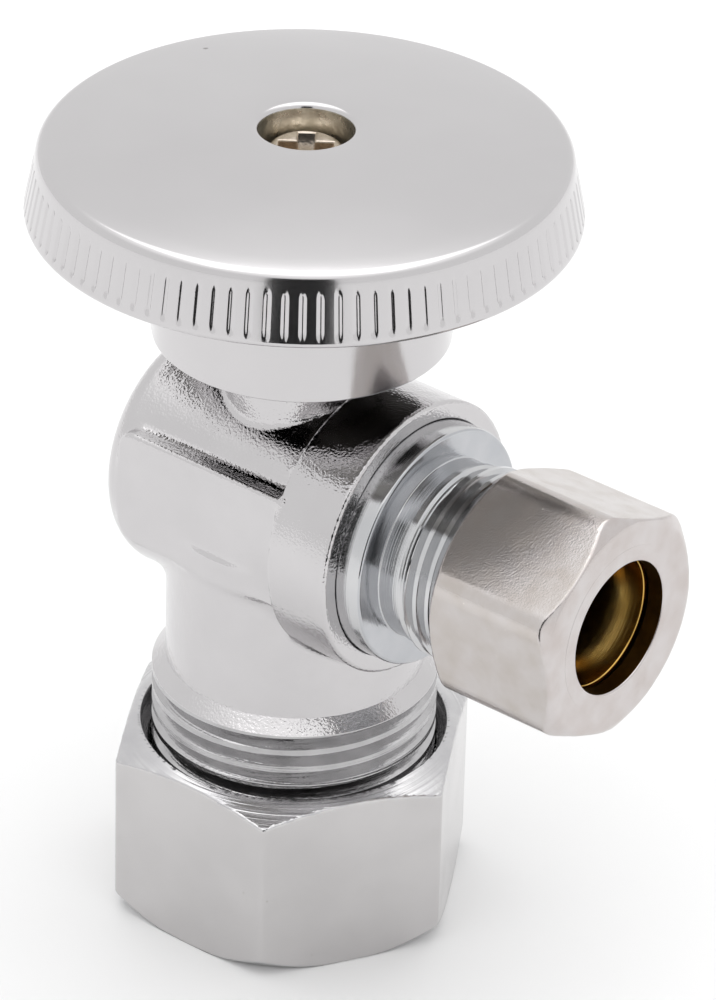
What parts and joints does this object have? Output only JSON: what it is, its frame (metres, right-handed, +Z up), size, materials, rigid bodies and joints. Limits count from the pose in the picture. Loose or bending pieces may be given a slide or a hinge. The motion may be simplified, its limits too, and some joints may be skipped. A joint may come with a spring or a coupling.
{
  "type": "angle stop valve",
  "caption": "Quarter-turn angle stop valve: round grooved handle on a ball-valve body, compression nut and sleeve below for the supply tube and a smaller pair at the side for the riser.",
  "frame": {"origin": "on the stem axis, at the flat bottom face of the inlet nut, which the valve stands on", "axes": "+Z up the stem axis through the handle; +X out of the side outlet"},
  "size_m": [0.0483, 0.039, 0.0619],
  "materials": {
    "cast_chrome": "bright chrome plate over a forged brass body with a slight orange peel",
    "turned_chrome": "bright chrome plate over turned brass, with fine lathe lines",
    "handle_chrome": "bright chrome plate over a smooth zinc casting",
    "nut_plate": "polished plated brass hexagon",
    "nut_nickel": "warm bright nickel plate over brass",
    "brass": "bare turned brass",
    "seal_rubber": "moulded nitrile rubber",
    "ptfe": "turned white PTFE",
    "screw_steel": "nickel-plated steel"
  },
  "bodies": {
    "body": {"valve_body": "cast_chrome", "outlet_adapter": "turned_chrome", "adapter_o_ring": "seal_rubber", "rear_seat": "ptfe", "outlet_seat": "ptfe", "stem_thrust_washer": "ptfe"},
    "handle_and_stem": {"handle": "handle_chrome", "handle_screw": "screw_steel", "stem": "brass", "stem_o_ring_lower": "seal_rubber", "stem_o_ring_upper": "seal_rubber", "ball": "turned_chrome"},
    "inlet_sleeve": {"inlet_ferrule": "brass"},
    "inlet_nut": {"inlet_nut": "nut_plate"},
    "outlet_sleeve": {"outlet_ferrule": "brass"},
    "outlet_nut": {"outlet_nut": "nut_nickel"}
  },
  "joints": [
    {"name": "handle_turn", "type": "hinge", "parent": "body", "child": "handle_and_stem", "pos_m": [0, 0, 0.0333], "axis": [0, 0, -1], "range_deg": [0, 90]},
    {"name": "inlet_sleeve_travel", "type": "slide", "parent": "body", "child": "inlet_sleeve", "axis": [0, 0, 1], "range_m": [-0.00317, 0.00211]},
    {"name": "inlet_nut_turn", "type": "hinge", "parent": "inlet_sleeve", "child": "inlet_nut", "pos_m": [0, 0, 0], "axis": [0, 0, 1], "range_deg": [-810, 540]},
    {"name": "outlet_sleeve_travel", "type": "slide", "parent": "body", "child": "outlet_sleeve", "axis": [1, 0, 0], "range_m": [-0.00158, 0.00211]},
    {"name": "outlet_nut_turn", "type": "hinge", "parent": "outlet_sleeve", "child": "outlet_nut", "pos_m": [0, 0, 0.0333], "axis": [1, 0, 0], "range_deg": [-540, 720]}
  ],
  "couplings": [
    {"joint": "inlet_nut_turn", "follows": "inlet_sleeve_travel", "rad_per_m": 4453},
    {"joint": "outlet_nut_turn", "follows": "outlet_sleeve_travel", "rad_per_m": 5938.7}
  ]
}
